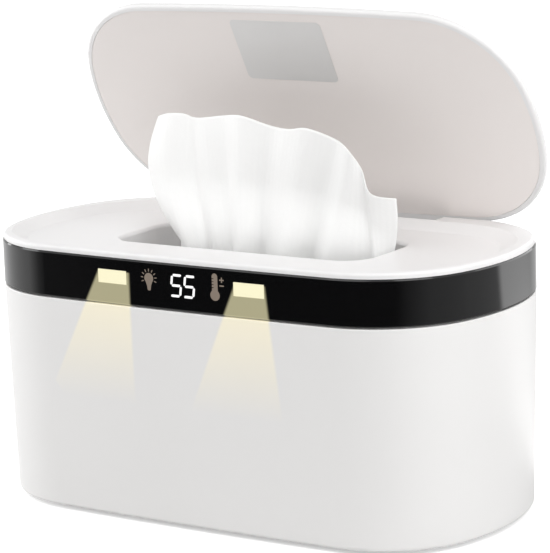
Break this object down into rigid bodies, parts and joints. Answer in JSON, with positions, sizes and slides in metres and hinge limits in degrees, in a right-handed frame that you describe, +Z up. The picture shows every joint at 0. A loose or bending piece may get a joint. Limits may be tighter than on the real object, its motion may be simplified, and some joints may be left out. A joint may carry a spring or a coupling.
{
  "type": "baby wipe warmer",
  "caption": "Heated oval tub for baby wipes with a lit display band, a lift-off cover with a dispensing well, and a rear-hinged lid.",
  "frame": {"origin": "centre of the footprint, on the surface the feet stand on", "axes": "+X right along the length, +Y to the back, +Z up; the display faces -Y"},
  "size_m": [0.22, 0.1214, 0.1957],
  "materials": {
    "white_casing": "satin moulded ABS",
    "white_cover": "smooth moulded ABS",
    "lid_plastic": "satin moulded ABS",
    "band_black": "high gloss",
    "lens_cream": "frosted, lit",
    "display_face": "smoked",
    "shield_black": "matte",
    "tank_plastic": "satin polypropylene",
    "silicone": "soft",
    "foot_rubber": "soft",
    "aluminium_sheet": "mill",
    "polyimide": "film",
    "foam": "closed cell foam",
    "board_green": "solder mask",
    "component_black": "moulded",
    "led_yellow": "clear",
    "steel": "plated",
    "wire": "insulation",
    "ribbon": "flat cable",
    "wipe": "moist nonwoven"
  },
  "bodies": {
    "base": {"outer_shell": "white_casing", "bottom_cover": "white_casing", "rubber_feet": "foot_rubber", "bottom_screws": "steel", "display_band": "band_black", "night_light_lens_left": "lens_cream", "night_light_lens_right": "lens_cream", "light_shield": "shield_black", "digit_display": "display_face", "touch_pads": "foam", "display_board": "board_green", "night_light_leds": "led_yellow", "display_screws": "steel", "inner_tank": "tank_plastic", "tank_seal": "silicone", "heater_plate": "aluminium_sheet", "heating_film": "polyimide", "insulation_pad": "foam", "thermal_fuse": "steel", "ntc_sensor": "component_black", "insulation_wrap": "foam", "main_board": "board_green", "board_components": "component_black", "board_screws": "steel", "power_inlet": "component_black", "inlet_nut": "steel", "display_ribbon": "ribbon", "power_leads": "wire", "heater_leads": "wire", "wipe_stack": "wipe"},
    "cover": {"top_cover": "white_cover", "hinge_pin": "steel", "wipe_sheet": "wipe"},
    "lid": {"lid_shell": "lid_plastic", "lid_liner": "lid_plastic"}
  },
  "joints": [
    {"name": "cover_lift", "type": "slide", "parent": "base", "child": "cover", "axis": [0, 0, 1], "range_m": [0, 0.06]},
    {"name": "lid_hinge", "type": "hinge", "parent": "cover", "child": "lid", "pos_m": [0, 0.05185, 0.0974], "axis": [1, 0, 0], "range_deg": [0, 60.8], "deforming": ["wipe_sheet"]}
  ]
}
